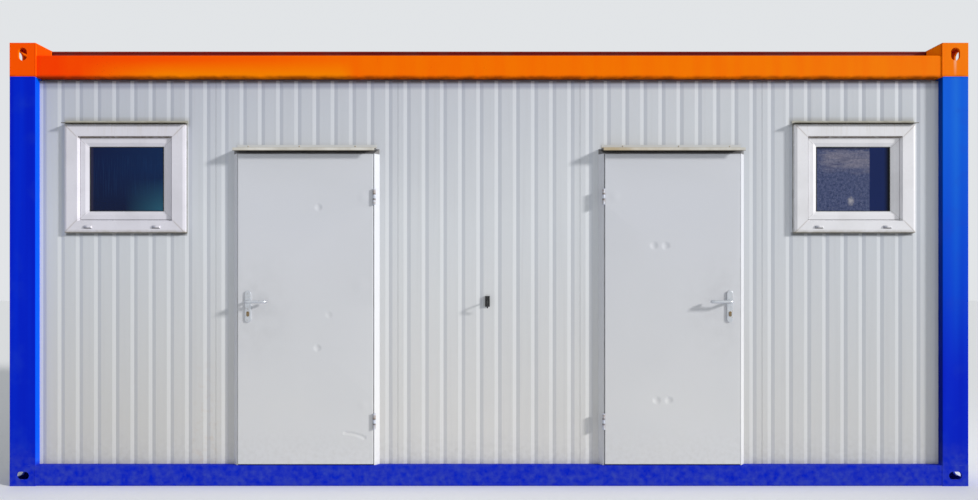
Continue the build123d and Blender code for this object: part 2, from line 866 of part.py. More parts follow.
def door_nodes():
    for name, side in (("left", -1), ("right", 1)):
        write_node(f"door_{name}_frame", door_frame(side))
        write_node(f"door_{name}_leaf", door_leaf(side))
        write_node(f"door_{name}_hinge_wings", [hinge_moving_half(side, z) for z in hinge_levels])
        write_node(f"door_{name}_lock_plates", lock_plates(side))
        write_node(f"door_{name}_levers", levers(side))
    write_node("door_hinge_pins", [hinge_fixed_half(side, z) for side in (-1, 1) for z in hinge_levels])
    write_node("door_caps", [door_cap(side) for side in (-1, 1)])
    write_node("hold_open_hook", hold_open_hook())


def window_nodes():
    for name, side in (("left", -1), ("right", 1)):
        write_node(f"window_{name}_frame", window_frame(side))
        write_node(f"window_{name}_sash", window_sash(side))
    write_node("window_glass", [window_pane(side) for side in (-1, 1)])
    write_node("window_drip_caps", [drip_cap(side) for side in (-1, 1)])


os.makedirs("parts", exist_ok=True)
frame_nodes()
wall_nodes()
door_nodes()
window_nodes()
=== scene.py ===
# %% [markdown]
# # A toilet container, dressed for its picture
# The solid model of the cabin is finished: steel frame, lined walls, two doors, two windows. This lesson
# adds what a solid modeller leaves out: paint with weather in it, dented door sheets, rubber seals, welds,
# rivets and screws. The model is loaded first, because every new piece takes its place from it. Blender
# works in metres here.

# %% Load the model
import math

import bpy
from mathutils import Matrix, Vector


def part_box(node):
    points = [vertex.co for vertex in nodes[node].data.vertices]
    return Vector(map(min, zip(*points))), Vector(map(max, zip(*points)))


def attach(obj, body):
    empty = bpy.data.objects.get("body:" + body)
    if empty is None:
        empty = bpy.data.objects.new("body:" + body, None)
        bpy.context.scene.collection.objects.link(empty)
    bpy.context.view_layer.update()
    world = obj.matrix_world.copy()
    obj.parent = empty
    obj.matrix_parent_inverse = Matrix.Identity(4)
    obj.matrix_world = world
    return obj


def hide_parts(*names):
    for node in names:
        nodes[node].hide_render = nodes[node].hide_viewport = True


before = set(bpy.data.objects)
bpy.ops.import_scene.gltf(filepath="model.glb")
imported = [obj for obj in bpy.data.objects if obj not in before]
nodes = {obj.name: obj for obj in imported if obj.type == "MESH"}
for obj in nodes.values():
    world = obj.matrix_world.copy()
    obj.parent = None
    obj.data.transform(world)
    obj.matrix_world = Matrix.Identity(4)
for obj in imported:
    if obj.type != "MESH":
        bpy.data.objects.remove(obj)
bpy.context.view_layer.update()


# %% [markdown]
# ## Camera
# The camera stands square to the front, 4 m before it and 1.32 m above the ground, as the photographer did.
# It stays level, because a tilted camera would make the posts lean. The picture is moved up with a little
# lens shift instead.

# %% Camera
def put_in_scene(name, data):
    """Makes an object of a camera, a lamp or a mesh, and links it to the scene."""
    made = bpy.data.objects.new(name, data)
    bpy.context.scene.collection.objects.link(made)
    return made


camera_data = bpy.data.cameras.new("camera")
camera_data.lens = 23.32
camera_data.shift_y = 0.0276
camera = put_in_scene("camera", camera_data)
camera.location = (0.0, -5.219, 1.321)
camera.rotation_euler = (math.radians(90), 0, 0)
bpy.context.scene.camera = camera
bpy.context.scene.view_settings.view_transform = "Standard"
print("camera", tuple(camera.location), "lens", camera_data.lens)

# %% [markdown]
# ## Helpers for materials
# A material is a small network of nodes. One helper adds a node and fills its sockets, each with a plain
# value or with another node's output. An output is wrapped in a small class, on which signs such as * and -
# add Math nodes, so that a mask reads like the sum that it is. Colours are written as a paint chart gives
# them, from 0 to 255, and turned into the linear colour that light is reckoned in.

# %% Node helpers
def fill(socket, value):
    """Writes a plain value into a socket, or links another node's output to it."""
    if isinstance(value, Value):
        value = value.socket
    if isinstance(value, bpy.types.NodeSocket):
        socket.id_data.links.new(value, socket)
    else:
        socket.default_value = value


def add_node(tree, kind, sockets=None, **settings):
    """Adds a shader node of a kind such as Math or TexNoise, and fills its sockets."""
    made = tree.nodes.new("ShaderNode" + kind)
    for name, value in settings.items():
        setattr(made, name, value)
    for key, value in (sockets or {}).items():
        fill(made.inputs[key], value)
    return made


def value_of(tree, kind, sockets=None, output=0, **settings):
    """Adds a node and returns one of its outputs, ready to be reckoned with."""
    return Value(add_node(tree, kind, sockets, **settings).outputs[output])


def maths(operation, first, second=0.0):
    tree = first.tree if isinstance(first, Value) else second.tree
    return value_of(tree, "Math", {0: first, 1: second}, operation=operation)


class Value:
    """A number, direction or colour that changes over a surface: the output of a node."""

    def __init__(self, socket):
        self.socket = socket
        self.tree = socket.id_data

    def __add__(self, other):
        return maths("ADD", self, other)

    def __sub__(self, other):
        return maths("SUBTRACT", self, other)

    def __rsub__(self, other):
        return maths("SUBTRACT", other, self)

    def __mul__(self, other):
        return maths("MULTIPLY", self, other)

    def __abs__(self):
        return maths("ABSOLUTE", self)

    def fade(self, start, end, low=0.0, high=1.0):
        """Turns a value between start and end into one between low and high, and holds it beyond."""
        sockets = {"Value": self, "From Min": start, "From Max": end, "To Min": low, "To Max": high}
        return value_of(self.tree, "MapRange", sockets)

    def near(self, middle, reach):
        """One at a place on one axis, falling to nought at a reach to both sides."""
        return abs(self - middle).fade(reach, 0.0)

    def span(self, start, end, edge):
        """One between two places on one axis, fading to nought within an edge beyond each."""
        return self.fade(start - edge, start) * self.fade(end + edge, end)


print("helpers ready")


# %% Colours, places and noise
def linear(channel):
    share = channel / 255
    return share / 12.92 if share <= 0.04045 else ((share + 0.055) / 1.055) ** 2.4


def chart(red, green, blue):
    return (linear(red), linear(green), linear(blue), 1.0)


def blend(mask, under, over):
    """Lays one colour over another through a mask. A colour is a node's output or three channels."""
    under, over = (chart(*colour) if isinstance(colour, tuple) else colour for colour in (under, over))
    return value_of(mask.tree, "Mix", {0: mask, 6: under, 7: over}, output=2, data_type="RGBA")


def place_on_object(tree):
    """Where each point is in the cabin's own frame, in metres, and its X, Y and Z by themselves."""
    where = add_node(tree, "TexCoord").outputs["Object"]
    x, y, z = (Value(output) for output in add_node(tree, "SeparateXYZ", {0: where}).outputs)
    return where, x, y, z


def noise(tree, where, scale, detail, **more):
    return value_of(tree, "TexNoise", {"Vector": where, "Scale": scale, "Detail": detail, **more})


print("red of a warm orange, linear:", round(chart(253, 110, 0)[0], 3))

# %% [markdown]
# ## Shared effects
# Weather leaves the same few marks on every surface: broad patches, runs of rain, small specks, worn edges
# and the fine unevenness of paint. Each is a node group with its own inputs, so that it is built once and
# set for each material. Noise drives all of them, because dirt has no regular pattern.

# %% Group helper
def new_group(name, inputs):
    """Starts a node group, and returns it with its inputs and the socket that its result goes to."""
    group = bpy.data.node_groups.new(name, "ShaderNodeTree")
    for label, default in inputs.items():
        socket = group.interface.new_socket(label, in_out="INPUT", socket_type="NodeSocketFloat")
        socket.default_value = default
    group.interface.new_socket("Result", in_out="OUTPUT", socket_type="NodeSocketFloat")
    given = group.nodes.new("NodeGroupInput").outputs
    result = group.nodes.new("NodeGroupOutput").inputs[0]
    return group, {label: Value(given[label]) for label in inputs}, result


# %% Patches, runs and specks
patches, given, result = new_group("patches", {"Scale": 2.0, "Low": 0.45, "High": 0.75})
where = place_on_object(patches)[0]
fill(result, noise(patches, where, given["Scale"], 4.0).fade(given["Low"], given["High"]))

rain_runs, given, result = new_group("rain_runs", {"Across": 60.0, "Along": 1.2, "Low": 0.52, "High": 0.75})
x, y, z = place_on_object(rain_runs)[1:]
stretched = {0: x * given["Across"], 1: y * given["Across"], 2: z * given["Along"]}
stretched = value_of(rain_runs, "CombineXYZ", stretched)
fill(result, noise(rain_runs, stretched, 1.0, 3.0).fade(given["Low"], given["High"]))

specks, given, result = new_group("specks", {"Scale": 90.0, "Size": 0.12, "Share": 0.55})
where = place_on_object(specks)[0]
sockets = {"Vector": where, "Scale": given["Scale"]}
cells = value_of(specks, "TexVoronoi", sockets, output="Distance")
chosen = noise(specks, where, 3.0, 2.0).fade(given["Share"], given["Share"] + 0.08)
fill(result, cells.fade(given["Size"], 0.0) * chosen)
print("groups:", [group.name for group in bpy.data.node_groups])

# %% [markdown]
# Paint wears first where hands, boots and straps rub: on the edges. A Bevel node looks at the surface a few
# millimetres around each point. Where its softened normal differs from the true one there is an edge, and a
# noise breaks that line up so that it isn't an even border.

# %% Worn edges and paint grain
worn_edges, given, result = new_group(
    "worn_edges", {"Radius": 0.004, "Low": 0.02, "High": 0.2, "Broken": 25.0}
)
where = place_on_object(worn_edges)[0]
normals = {
    0: value_of(worn_edges, "Bevel", {"Radius": given["Radius"]}, samples=4),
    1: value_of(worn_edges, "NewGeometry", output="Normal"),
}
likeness = value_of(worn_edges, "VectorMath", normals, output="Value", operation="DOT_PRODUCT")
broken = noise(worn_edges, where, given["Broken"], 5.0).fade(0.48, 0.62)
fill(result, (1.0 - likeness).fade(given["Low"], given["High"]) * broken)

paint_grain, given, result = new_group("paint_grain", {"Fine": 260.0, "Broad": 9.0, "Waves": 0.6})
where = place_on_object(paint_grain)[0]
waves = noise(paint_grain, where, given["Broad"], 1.0) * given["Waves"]
fill(result, noise(paint_grain, where, given["Fine"], 2.0) + waves)
print("groups:", [group.name for group in bpy.data.node_groups])

# %% [markdown]
# ## A finish in layers
# Every finish is built the same way. It starts with a clean colour, has one mark after another laid over it,
# each through its own mask, and ends at the shader with a colour, a roughness and a bump height that change
# over the surface. What is the same all over, such as how metallic it is, is written on the shader's own
# socket.

# %% Finish
class Finish:
    """A material whose colour is laid on in layers."""

    def __init__(self, name, roughness, specular=0.5, metallic=0.0):
        self.material = bpy.data.materials.new(name)
        self.material.use_nodes = True
        self.tree = self.material.node_tree
        self.shader = self.tree.nodes["Principled BSDF"].inputs
        fill(self.shader["Roughness"], roughness)
        fill(self.shader["Specular IOR Level"], specular)
        fill(self.shader["Metallic"], metallic)
        self.colour = None

    def use(self, group, **values):
        """Places a shared effect, sets its inputs and returns its output."""
        sockets = {label.capitalize(): value for label, value in values.items()}
        return value_of(self.tree, "Group", sockets, node_tree=group)

    def axes(self):
        return place_on_object(self.tree)[1:]

    def facing(self, axis):
        """One where a surface faces along an axis, minus one where it faces the other way."""
        normal = add_node(self.tree, "NewGeometry").outputs["Normal"]
        return value_of(self.tree, "SeparateXYZ", {0: normal}, output=axis)

    def lay(self, mask, tone, share=1.0):
        """Lays a tone over the colour so far, where the mask lets it and no stronger than its share."""
        self.colour = blend(mask if share == 1.0 else mask * share, self.colour, tone)

    def done(self, roughness=None, height=None, bump=0.0002, strength=0.4):
        """Links what changes over the surface to the shader."""
        fill(self.shader["Base Color"], self.colour)
        if roughness is not None:
            fill(self.shader["Roughness"], roughness)
        if height is not None:
            sockets = {"Height": height, "Distance": bump, "Strength": strength}
            fill(self.shader["Normal"], value_of(self.tree, "Bump", sockets))

    def coat(self, *parts):
        """Goes on each node of the model that has one of these parts in its name."""
        chosen = [node for name, node in nodes.items() if any(part in name for part in parts)]
        for node in chosen:
            node.data.materials.clear()
            node.data.materials.append(self.material)
        print(self.material.name, "on", len(chosen), "nodes")


print("finishes can be laid on")

# %% [markdown]
# ## Blue frame paint
# Posts and base rails are rolled steel under strong blue gloss paint. Its tone changes in upright bands,
# boots and gravel have chipped it low down, and dust clings to the lowest hand's breadth. The upper right
# post is painted lighter as a painted sheen, with a painted highlight down its middle, and sides that face
# the lamp are painted lighter as painted light, sides that face away darker as painted shade.

# %% Blue paint
paint = Finish("blue_paint", roughness=0.42, specular=0.04)
x, y, z = paint.axes()
bands = paint.use(rain_runs, across=14.0, along=0.35, low=0.35, high=0.7)
paint.colour = blend(bands, (0, 30, 198), (0, 42, 212))
# painted sheen: the upper right post is painted lighter, with a painted highlight down its middle
painted_sheen = x.fade(2.4, 2.8) * z.fade(0.7, 2.3)
paint.lay(painted_sheen, (0, 96, 226))
painted_highlight_stripe = x.near(2.948, 0.04) * painted_sheen
paint.lay(painted_highlight_stripe, (24, 120, 226), 0.5)
low_down = z.fade(1.2, 0.2, 0.0, 0.6)
paint.lay(low_down, (0, 30, 186))
facing_right = paint.facing("X")
on_posts = z.fade(0.13, 0.16)
# painted light on sides that face the lamp, painted shade on sides that face away
painted_lit_side = facing_right.fade(0.4, 0.8) * on_posts
paint.lay(painted_lit_side, (0, 96, 244), 0.7)
painted_shaded_side = facing_right.fade(-0.4, -0.8) * on_posts
paint.lay(painted_shaded_side, (4, 18, 92), 0.7)
scuffed = paint.use(patches, scale=7.0, low=0.55)
paint.lay(scuffed, (30, 66, 196), 0.25)
chips = paint.use(worn_edges, radius=0.004, low=0.03, high=0.25, broken=30.0)
paint.lay(chips, (96, 116, 170), 0.5)
dust = z.fade(0.3, 0.06) * paint.use(patches, scale=26.0, low=0.3)
paint.lay(dust, (92, 108, 150), 0.35)
paint.done(bands.fade(0.0, 1.0, 0.36, 0.5), paint.use(paint_grain))
paint.coat("base_rail", "base_corners", "posts", "floor_beams")

# %% [markdown]
# ## Orange roof frame paint
# The roof rails and corner fittings were painted over by brush: the orange leans to red at the left end and
# to yellow at the right and low on the left, where the coat is thin, with upright strokes of slightly
# different tone. A pale run of lime hangs under the right slot.

# %% Orange paint
paint = Finish("orange_paint", roughness=0.5, specular=0.02)
x, y, z = paint.axes()
paint.colour = blend(x.fade(-2.9, -1.8), (255, 58, 0), (255, 92, 0))
paint.lay(x.fade(-1.8, -0.6), (255, 117, 0))
paint.lay(x.fade(-0.6, 2.6), (255, 128, 0))
left_corner = x.fade(-2.862, -2.868)
paint.lay(left_corner, (255, 84, 0))
strokes = paint.use(rain_runs, across=10.0, along=1.5, low=0.4, high=0.65)
paint.lay(strokes, (255, 92, 0), 0.25)
thin_coat = x.fade(-2.6, -2.05) * x.fade(-0.84, -0.93) * z.fade(2.69, 2.6)
paint.lay(thin_coat, (255, 136, 0), 0.9)
facing_right = paint.facing("X")
# painted shade on faces that turn away from the lamp, painted light on faces that turn toward it
paint.lay(facing_right.fade(-0.4, -0.8), (150, 48, 8), 0.55)
paint.lay(facing_right.fade(0.4, 0.8), (255, 140, 10), 0.5)
rubbed = paint.use(worn_edges, radius=0.005, low=0.02, high=0.2, broken=18.0)
paint.lay(rubbed, (255, 156, 40), 0.45)
rust = paint.use(specks, scale=45.0, size=0.16, share=0.6)
paint.lay(rust, (150, 52, 14), 0.6)
grime = z.fade(2.602, 2.586) * paint.use(patches, scale=11.0, low=0.3, high=0.6)
paint.lay(grime, (120, 44, 10), 0.6)
lime_run = x.near(2.944, 0.012) * (z.fade(2.585, 2.68) * z.fade(2.72, 2.69))
paint.lay(lime_run, (255, 196, 160), 0.7)
paint.done(strokes.fade(0.0, 1.0, 0.48, 0.6), paint.use(paint_grain, waves=1.2))
paint.coat("roof_rail", "roof_corners")

# %% Roof paint
paint = Finish("roof_red_paint", roughness=0.6, specular=0.2)
worn = paint.use(patches, scale=1.4, low=0.35)
paint.colour = blend(worn, (112, 18, 10), (142, 38, 26))
puddles = paint.use(patches, scale=5.0, low=0.52)
paint.lay(puddles, (96, 74, 66), 0.5)
paint.done(puddles.fade(0.0, 1.0, 0.5, 0.75), paint.use(paint_grain))
paint.coat("roof_sheet")

# %% [markdown]
# ## Wall sheet
# The walls are sandwich panels with a grey-white coated steel face. It keeps clean where rain reaches it.
# Dirt gathers in faint runs, splashes up from the ground and lies in a grey veil over the door caps, where
# drops bounce. Inside, the same sheet is clean, so all of the weather is multiplied by a mask that is one
# only on the outside. Under the roof rail a painted shadow and a dark line of painted shade lie on the wall,
# and under each window a dark line of painted shade with dirt. On the front, each groove's flank that faces
# the lamp is painted paler as a painted highlight, and the other flank darker as painted shade.

# %% Wall paint
paint = Finish("wall_paint", roughness=0.5, specular=0.3)
x, y, z = paint.axes()
outside = maths("MAXIMUM", abs(x).fade(2.95, 2.98), abs(y).fade(1.14, 1.17))
front = y.fade(-1.14, -1.17)
veil = paint.use(patches, scale=0.9, low=0.3)
low_down = z.fade(1.6, 0.4) * outside
clean = blend(abs(x).fade(0.6, 2.6), (215, 218, 222), (203, 207, 213))
greyed = blend(x.fade(-0.8, -2.2), (216, 214, 211), (199, 197, 193))
greyed = blend(x.fade(0.8, 2.4), greyed, (206, 206, 205))
clean = blend(low_down * 0.85, clean, greyed)
paint.colour = blend(veil * 0.4, clean, blend(low_down, (200, 203, 209), (197, 196, 194)))
shaded_top = z.fade(1.7, 2.6) * x.fade(1.6, -2.8, 0.2, 1.0)
paint.lay(shaded_top * outside, (186, 190, 202))
runs = paint.use(rain_runs, across=45.0, along=0.8, low=0.5) * outside
paint.lay(runs, (180, 181, 184), 0.15)
splash = z.fade(0.36, 0.13) * paint.use(patches, scale=34.0, low=0.35, high=0.8) * outside
paint.lay(splash, (160, 156, 148), 0.3)
soil = x.near(-1.8, 0.12) * z.fade(0.9, 0.3) * outside
paint.lay(soil * paint.use(patches, scale=22.0, low=0.5, high=0.7), (190, 160, 130), 0.35)
# painted shadow of the roof rail on the wall, and above it a dark line of painted shade
painted_shadow_under_rail = z.fade(2.51, 2.535) * outside
paint.lay(painted_shadow_under_rail, (118, 122, 148), 0.55)
painted_shade_line = z.fade(2.545, 2.565) * outside
paint.lay(painted_shade_line, (50, 32, 24), 0.8)
over_doors = abs(x).span(0.72, 1.6, 0.02) * z.fade(2.182, 2.163) * z.fade(2.12, 2.14) * 0.3
over_windows = abs(x).span(1.92, 2.7, 0.02) * z.fade(2.345, 2.316) * z.fade(2.27, 2.29)
gathered = maths("MAXIMUM", over_doors, over_windows) * front
paint.lay(gathered, (150, 146, 130), 0.45)
# a dark line under each window frame: painted shade with dirt
shade_and_dirt_under_windows = abs(x).span(1.93, 2.69, 0.01) * front * z.span(1.588, 1.603, 0.006)
paint.lay(shade_and_dirt_under_windows, (72, 72, 74), 0.75)
facing_right = paint.facing("X")
# painted highlight on groove flanks that face the lamp, painted shade on flanks that face away
paint.lay(facing_right.fade(0.04, 0.09) * front, (236, 239, 242), 0.17)
paint.lay(facing_right.fade(-0.04, -0.09) * front, (140, 150, 178), 0.13)
specked = paint.use(specks, scale=70.0, size=0.12, share=0.62)
paint.lay(specked, (156, 154, 152), 0.3)
paint.done(veil.fade(0.0, 1.0, 0.42, 0.56), paint.use(paint_grain, waves=2.0), strength=0.25)
paint.coat("_panel", "_wall")

# %% [markdown]
# ## Door paint
# The leaves are smooth coated sheet, a touch lighter than the walls. Hands leave a grey cloud round the
# lever, and the sheet has slow waves that only show in raking light, which a broad noise in the bump gives.

# %% Door paint
paint = Finish("door_paint", roughness=0.42, specular=0.3)
x, y, z = paint.axes()
veil = paint.use(patches, scale=1.6, low=0.3)
clean = blend(z.fade(1.7, 0.5), (210, 212, 219), (215, 215, 216))
paint.colour = blend(veil * 0.4, clean, (205, 207, 211))
by_lever = abs(x).near(1.47, 0.26) * z.near(1.12, 0.4)
hands = by_lever * paint.use(patches, scale=14.0, low=0.3, high=0.7)
paint.lay(hands, (174, 174, 176), 0.3)
splash = z.fade(0.4, 0.12) * paint.use(patches, scale=36.0, low=0.4, high=0.8)
paint.lay(splash, (172, 168, 162), 0.25)
rubbed = paint.use(worn_edges, radius=0.003, low=0.03, high=0.25, broken=30.0)
paint.lay(rubbed, (156, 152, 146), 0.3)
# the frame's head under the cap is painted dark: painted shade with dirt
head_shade_and_dirt = z.fade(2.099, 2.104) * y.fade(-1.18, -1.184)
paint.lay(head_shade_and_dirt, (62, 58, 56), 0.85)
waves = paint.use(paint_grain, broad=3.0, waves=3.0)
paint.done(veil.fade(0.0, 1.0, 0.36, 0.5), waves, strength=0.3)
paint.coat("door_left_frame", "door_right_frame", "door_left_leaf", "door_right_leaf")
door_paint = paint.material

# %% [markdown]
# ## Caps, hinges, levers and the black hook
# Small metal parts catch grime in their folds. The caps are white sheet gone greige, with a tan stain on the
# right one, and their undersides and the foot of their lips are painted dark brown as painted shade with
# dirt.
# The window caps' lip is painted dark as dirt with painted shade. Levers and plates are satin aluminium: a
# metallic shader with a fine brushed grain and brown spots.

# %% Door caps
paint = Finish("cap_sheet", roughness=0.6, specular=0.3)
x, y, z = paint.axes()
grime = paint.use(patches, scale=9.0, low=0.35, high=0.7)
paint.colour = blend(grime, (222, 219, 212), (198, 194, 184))
tan = x.fade(0.0, 0.2) * x.fade(1.3, 0.75) * grime.fade(0.0, 1.0, 0.45, 0.8)
paint.lay(tan, (176, 150, 96))
bend = z.fade(2.139, 2.142)
paint.lay(bend, (168, 163, 152), 0.6)
flange = z.fade(2.146, 2.149)
paint.lay(flange, (208, 210, 212), 0.85)
# painted shade with dirt: the underside and the foot of the lip are painted dark brown
underside_shade_and_dirt = paint.facing("Z").fade(-0.3, -0.8)
paint.lay(underside_shade_and_dirt, (92, 83, 66))
lip_foot_shade_and_dirt = z.fade(2.1155, 2.1125)
paint.lay(lip_foot_shade_and_dirt, (84, 74, 54), 0.8)
paint.done(height=paint.use(paint_grain))
paint.coat("door_caps")

# %% Drip caps
paint = Finish("drip_sheet", roughness=0.65)
x, y, z = paint.axes()
grime = paint.use(patches, scale=16.0, low=0.35, high=0.7)
lip = blend(grime, (112, 106, 92), (84, 79, 66))
upper = blend(grime, (190, 189, 180), (166, 163, 150))
# the lip is painted dark: dirt with painted shade, below the pale upper sheet
paint.colour = blend(z.fade(2.2965, 2.299), lip, upper)
paint.done(height=paint.use(paint_grain))
paint.coat("window_drip_caps")

# %% Hinges
low_hinge = 0.409
high_hinge = 1.828
paint = Finish("hinge_steel", roughness=0.4)
x, y, z = paint.axes()
paint.colour = blend(paint.use(patches, scale=60.0, low=0.4, high=0.7), (204, 209, 222), (176, 180, 192))
rust = paint.use(worn_edges, radius=0.002, low=0.02, high=0.2, broken=120.0)
paint.lay(rust, (126, 98, 78), 0.7)
from_middle = maths("MINIMUM", abs(z - low_hinge), abs(z - high_hinge))
grease = from_middle.span(0.015, 0.019, 0.006)
paint.lay(grease, (70, 60, 54), 0.75)
weeping = from_middle.span(0.02, 0.042, 0.006) * paint.use(patches, scale=30.0, low=0.35, high=0.6)
paint.lay(weeping, (146, 122, 96), 0.6)
paint.done(height=paint.use(paint_grain))
paint.coat("hinge")

# %% Levers and lock plates
lock_height = 1.088
paint = Finish("handle_aluminium", roughness=0.36, metallic=0.85)
x, y, z = paint.axes()
brushed = paint.use(rain_runs, across=900.0, along=60.0, low=0.3, high=0.7)
paint.colour = blend(brushed, (198, 202, 208), (220, 223, 228))
stains = paint.use(patches, scale=70.0, low=0.58, high=0.72)
paint.lay(stains, (160, 142, 120), 0.4)
lock_end = z.near(lock_height, 0.03) * y.fade(-1.2252, -1.2262) * abs(x).span(1.511, 1.530, 0.001)
paint.lay(lock_end.fade(0.1, 0.3), (142, 124, 98))
paint.done(stains.fade(0.0, 1.0, 0.32, 0.6), brushed, bump=0.00005)
paint.coat("lock_plates", "levers")

# %% Hold-open hook
paint = Finish("black_steel", roughness=0.45)
paint.colour = blend(paint.use(patches, scale=80.0, low=0.5), (20, 21, 24), (48, 44, 42))
worn = paint.use(worn_edges, radius=0.002, low=0.03, high=0.3, broken=150.0)
paint.lay(worn, (120, 112, 104), 0.6)
paint.done(height=paint.use(paint_grain, fine=500.0))
paint.coat("hold_open_hook")
black_steel = paint.material

# %% [markdown]
# ## Window plastic
# Each frame and sash is welded from four lengths of white plastic, mitred at the corners. A weld shows as a
# hair-thin line on the diagonal. The masks measure from each window's own middle, and mark where the
# distance across, less the distance up, equals what the outer corner has. The step above the sash is painted
# dark brown, as dirt with painted shade, and brown dirt runs down from it and lies under the two small caps
# of the drain slots, whose left halves are painted darker as painted shade.

# %% Window plastic
window_middles = {"left": -2.3065, "right": 2.319}
window_height_middle = 1.9445
corner_lead = 0.039
drains_left = 0.015
drain_spread = 0.216

paint = Finish("window_plastic", roughness=0.3, specular=0.35)
x, y, z = paint.axes()
on_right = maths("GREATER_THAN", x, 0.0)
from_middle = x - on_right.fade(0.0, 1.0, *window_middles.values())
across = abs(from_middle)
up = z - window_height_middle
off_diagonal = abs(across - abs(up) - corner_lead)
dirt = paint.use(patches, scale=6.0, low=0.4)
left_tone = blend(dirt, (220, 218, 227), (209, 207, 215))
right_tone = blend(dirt, (236, 235, 239), (224, 223, 226))
paint.colour = blend(on_right, left_tone, right_tone)
seam = off_diagonal.fade(0.0022, 0.0006)
paint.lay(seam, (146, 138, 134), 0.45)
corners = off_diagonal.fade(0.012, 0.0) * across.fade(0.29, 0.32)
paint.lay(corners, (150, 132, 110), 0.25)
broken = paint.use(patches, scale=34.0, low=0.25, high=0.5).fade(0.0, 1.0, 0.55, 1.0)
# the step above the sash is painted dark brown: dirt with painted shade
step_dirt_and_shade = y.fade(-1.2095, -1.206) * up.span(0.262, 0.272, 0.003) * broken * across.fade(0.305, 0.3)
paint.lay(step_dirt_and_shade, (104, 88, 66), 0.85)
drips = paint.use(rain_runs, across=90.0, along=6.0, low=0.52) * up.fade(0.2, 0.34)
paint.lay(drips, (190, 180, 160), 0.3)
bottom = up.fade(-0.32, -0.34) * paint.use(patches, scale=20.0, low=0.2, high=0.6)
paint.lay(bottom, (164, 156, 134), 0.55)
bottom_edge = up.fade(-0.336, -0.341, 0.0, 0.75)
paint.lay(bottom_edge, (100, 94, 74))
from_drains = from_middle + drains_left
from_drain = from_drains - maths("SIGN", from_drains) * drain_spread
proud = y.fade(-1.2113, -1.2123)
# painted shade on the left half of each drain cap
paint.lay(proud * from_drain.fade(0.004, -0.012), (88, 96, 118), 0.65)
paint.lay(proud * paint.facing("Z").fade(-0.2, -0.6), (70, 60, 40), 0.85)
paint.done(dirt.fade(0.0, 1.0, 0.26, 0.4))
paint.coat("window_left_frame", "window_right_frame", "sash")

# %% [markdown]
# ## Panes
# A sealed double pane over a dark room reads as deep blue, because it mirrors the sky, and that reflection
# is painted into the colour: a painted reflection, darker low down and teal at the lower right of the clean
# left pane. The right one wears a film of dust, thickest in a band that was wiped in an arc; a strip at its
# right is painted dark and free of film as the frame's painted shadow, and its top and right edges are
# painted darker as painted shade. The glass keeps a plain transmission, and dust only changes its colour and
# its roughness.

# %% Dust on the right pane
def from_point(x, z, place, stretch=1.0):
    """The distance of each point from a place on the front, with heights counted stretch times."""
    across = x - place[0]
    up = (z - place[1]) * stretch
    return maths("SQRT", across * across + up * up)


paint = Finish("window_glass", roughness=0.08)
fill(paint.shader["Transmission Weight"], 0.3)
fill(paint.shader["IOR"], 1.22)
where, x, y, z = place_on_object(paint.tree)
fine = noise(paint.tree, where, 60.0, 8.0, Roughness=0.8)
film = fine.fade(0.38, 0.66)
# the navy under the dust is a painted reflection of the sky
paint.colour = blend(film, (36, 52, 98), (108, 118, 156))
flattened = value_of(paint.tree, "Mapping", {0: where, "Scale": (3.0, 1.0, 16.0)})
smears = noise(paint.tree, flattened, 3.0, 5.0)
uneven = (smears - 0.5) * 0.12
height = z + uneven
dusty_band = height.fade(1.97, 2.045) * height.fade(2.128, 2.112) * (x + uneven).fade(2.09, 2.15)
dusty_band = dusty_band * smears.fade(0.3, 0.6, 0.45, 1.0)
paint.lay(dusty_band, blend(film, (112, 112, 136), (170, 166, 180)), 0.85)
wiped = from_point(x, z, (2.37, 1.62)).near(uneven + 0.455, 0.012) * x.fade(2.12, 2.2)
paint.lay(wiped, (60, 68, 106), 0.6)
# painted shade along the top of the right pane
paint.lay(z.fade(2.128, 2.142), (26, 34, 66))
spots = paint.use(specks, scale=75.0, size=0.2, share=0.3)
paint.lay(spots, (196, 194, 202), 0.5)
splat = from_point(x, z, (2.306, 1.805), stretch=0.7) + (fine - 0.5) * 0.09
paint.lay(splat.fade(0.022, 0.004), (200, 196, 200), 0.8)
# painted shadow of the frame: a strip at the right of the pane, dark and free of the film
frame_shadow_strip = x.fade(2.421, 2.428)
paint.lay(frame_shadow_strip, (26, 44, 100))
# painted shade along the right edge of the pane
paint.lay(x.fade(2.515, 2.545), (4, 8, 22))
dusty = paint.colour
print("nodes so far:", len(paint.tree.nodes))

# %% Clean pane and both together
# painted reflection of the sky: deep blue, darker low down and teal at the lower right
paint.colour = blend(x.fade(-2.55, -2.06), (0, 24, 74), (8, 44, 92))
paint.lay(z.fade(2.0, 1.75), (8, 26, 66))
teal = x.fade(-2.32, -2.08) * z.fade(1.95, 1.76)
paint.lay(teal, (50, 112, 138), 0.75)
streaks = paint.use(rain_runs, across=170.0, along=5.0, low=0.5, high=0.72) * z.span(1.86, 2.05, 0.06)
paint.lay(streaks, (30, 74, 128), 0.3)
brown_edge = x.fade(-2.515, -2.53)
paint.lay(brown_edge, (70, 62, 76), 0.5)
on_right = x.fade(-0.1, 0.1)
paint.lay(on_right, dusty)
film = on_right * (1.0 - frame_shadow_strip)
paint.done(film.fade(0.0, 1.0, 0.07, 0.5))
paint.coat("window_glass")

# %% [markdown]
# ## Floor and ceiling
# An open door shows a floor covering, speckled grey at millimetre scale and scuffed where people walk, and
# white-faced ceiling boards.

